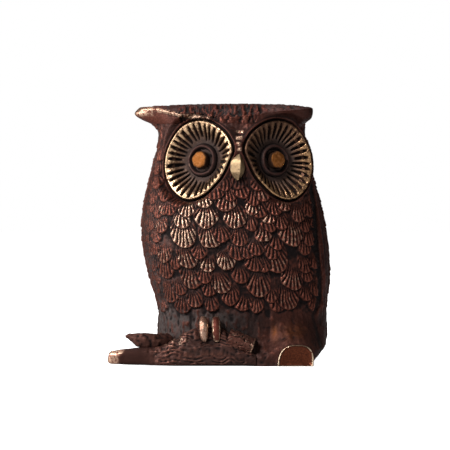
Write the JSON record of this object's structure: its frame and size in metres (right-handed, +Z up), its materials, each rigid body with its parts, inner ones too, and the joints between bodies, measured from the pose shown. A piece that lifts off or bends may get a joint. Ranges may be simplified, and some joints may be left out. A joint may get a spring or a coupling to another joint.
{
  "type": "owl figurine",
  "caption": "Small hollow brass owl on a broken branch, with dished face discs, ear tufts and a flat base, dark in its recesses and bright on its raised edges.",
  "frame": {"origin": "centre of the flat base, under the middle of the figure's box", "axes": "+Z up, -Y the way the owl looks, +X to the owl's left"},
  "size_m": [0.0644, 0.043, 0.076],
  "materials": {
    "dark_brass": "dark brown patina, grey in the recesses, worn brighter on the edges",
    "polished_brass": "patina rubbed back to bright brass",
    "orange_brass": "warm orange brown, satin",
    "steel": "plain, hidden inside"
  },
  "bodies": {
    "root": {"front_casting": "dark_brass", "back_casting": "dark_brass", "crown": "dark_brass", "face_disc_right": "polished_brass", "face_disc_left": "polished_brass", "eye_collar_right": "dark_brass", "eye_collar_left": "dark_brass", "pupil_pin_right": "orange_brass", "pupil_pin_left": "orange_brass", "beak": "polished_brass", "branch": "dark_brass", "branch_twig": "dark_brass", "branch_chunk": "dark_brass", "branch_stub": "orange_brass", "toe_outer": "polished_brass", "toe_inner": "polished_brass", "seam_pins": "steel", "branch_screws": "steel"}
  },
  "joints": []
}
